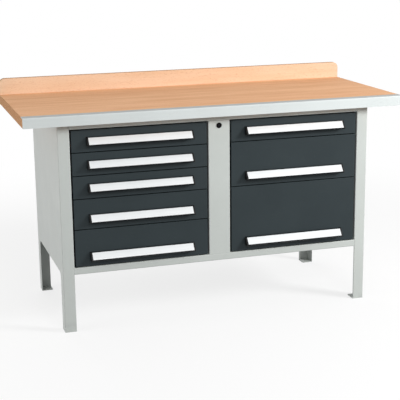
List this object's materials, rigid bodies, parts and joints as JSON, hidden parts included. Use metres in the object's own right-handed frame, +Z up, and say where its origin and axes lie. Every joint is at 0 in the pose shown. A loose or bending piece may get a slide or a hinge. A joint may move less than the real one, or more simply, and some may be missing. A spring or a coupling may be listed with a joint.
{
  "type": "box workbench",
  "caption": "Box workbench: sheet-steel carcass on four folded legs, two bays of drawers with full-width grip strips, beech worktop with steel nosing and rear upstand.",
  "frame": {"origin": "centre of the bench's outline on the floor", "axes": "+X to the right along the bench as seen from the front, +Y to the rear, +Z up; the drawers face -Y"},
  "size_m": [1.536, 0.65, 0.927],
  "materials": {
    "carcass_paint": "light grey powder coat, fine orange peel",
    "drawer_front_paint": "anthracite powder coat, fine orange peel",
    "drawer_box_paint": "light grey powder coat",
    "beech": "oiled beech",
    "nosing_paint": "light grey coated steel angle",
    "handle_aluminium": "satin anodised strip",
    "black_plastic": "matt moulded plastic",
    "zinc_steel": "bright zinc plate",
    "nylon": "natural nylon",
    "lock_black": "black lock housing",
    "lock_metal": "satin nickel plug"
  },
  "bodies": {
    "bench": {"left_side_panel": "carcass_paint", "right_side_panel": "carcass_paint", "foot_plates": "carcass_paint", "back_panel": "carcass_paint", "bottom_tray": "carcass_paint", "top_front_rail": "carcass_paint", "top_rear_rail": "carcass_paint", "centre_post": "carcass_paint", "runner_walls": "carcass_paint", "worktop_board": "beech", "edge_nosing": "nosing_paint", "upstand_board": "beech", "wood_screws": "zinc_steel", "cabinet_rails": "zinc_steel", "cabinet_rollers": "nylon", "lock_barrel": "lock_black", "lock_nut": "zinc_steel"},
    "lock_plug": {"lock_plug": "lock_metal", "lock_cam": "zinc_steel"},
    "locking_bar": {"locking_bar": "zinc_steel"},
    "drawer_l1": {"drawer_l1_box": "drawer_box_paint", "drawer_l1_front": "drawer_front_paint", "drawer_l1_handle": "handle_aluminium", "drawer_l1_caps": "black_plastic", "drawer_l1_rails": "zinc_steel"},
    "drawer_l2": {"drawer_l2_box": "drawer_box_paint", "drawer_l2_front": "drawer_front_paint", "drawer_l2_handle": "handle_aluminium", "drawer_l2_caps": "black_plastic", "drawer_l2_rails": "zinc_steel"},
    "drawer_l3": {"drawer_l3_box": "drawer_box_paint", "drawer_l3_front": "drawer_front_paint", "drawer_l3_handle": "handle_aluminium", "drawer_l3_caps": "black_plastic", "drawer_l3_rails": "zinc_steel"},
    "drawer_l4": {"drawer_l4_box": "drawer_box_paint", "drawer_l4_front": "drawer_front_paint", "drawer_l4_handle": "handle_aluminium", "drawer_l4_caps": "black_plastic", "drawer_l4_rails": "zinc_steel"},
    "drawer_l5": {"drawer_l5_box": "drawer_box_paint", "drawer_l5_front": "drawer_front_paint", "drawer_l5_handle": "handle_aluminium", "drawer_l5_caps": "black_plastic", "drawer_l5_rails": "zinc_steel"},
    "drawer_r1": {"drawer_r1_box": "drawer_box_paint", "drawer_r1_front": "drawer_front_paint", "drawer_r1_handle": "handle_aluminium", "drawer_r1_caps": "black_plastic", "drawer_r1_rails": "zinc_steel"},
    "drawer_r2": {"drawer_r2_box": "drawer_box_paint", "drawer_r2_front": "drawer_front_paint", "drawer_r2_handle": "handle_aluminium", "drawer_r2_caps": "black_plastic", "drawer_r2_rails": "zinc_steel"},
    "drawer_r3": {"drawer_r3_box": "drawer_box_paint", "drawer_r3_front": "drawer_front_paint", "drawer_r3_handle": "handle_aluminium", "drawer_r3_caps": "black_plastic", "drawer_r3_rails": "zinc_steel"}
  },
  "joints": [
    {"name": "drawer_l1_slide", "type": "slide", "parent": "bench", "child": "drawer_l1", "axis": [0, -1, 0], "range_m": [0, 0.43]},
    {"name": "drawer_l2_slide", "type": "slide", "parent": "bench", "child": "drawer_l2", "axis": [0, -1, 0], "range_m": [0, 0.43]},
    {"name": "drawer_l3_slide", "type": "slide", "parent": "bench", "child": "drawer_l3", "axis": [0, -1, 0], "range_m": [0, 0.43]},
    {"name": "drawer_l4_slide", "type": "slide", "parent": "bench", "child": "drawer_l4", "axis": [0, -1, 0], "range_m": [0, 0.43]},
    {"name": "drawer_l5_slide", "type": "slide", "parent": "bench", "child": "drawer_l5", "axis": [0, -1, 0], "range_m": [0, 0.43]},
    {"name": "drawer_r1_slide", "type": "slide", "parent": "bench", "child": "drawer_r1", "axis": [0, -1, 0], "range_m": [0, 0.43]},
    {"name": "drawer_r2_slide", "type": "slide", "parent": "bench", "child": "drawer_r2", "axis": [0, -1, 0], "range_m": [0, 0.43]},
    {"name": "drawer_r3_slide", "type": "slide", "parent": "bench", "child": "drawer_r3", "axis": [0, -1, 0], "range_m": [0, 0.43]},
    {"name": "lock_turn", "type": "hinge", "parent": "bench", "child": "lock_plug", "pos_m": [0, -0.28, 0.779], "axis": [0, -1, 0], "range_deg": [0, 90]},
    {"name": "bar_lift", "type": "slide", "parent": "bench", "child": "locking_bar", "axis": [0, 0, 1], "range_m": [0, 0.01202]}
  ],
  "couplings": [
    {"joint": "lock_turn", "follows": "bar_lift", "rad_per_m": 130.68}
  ]
}
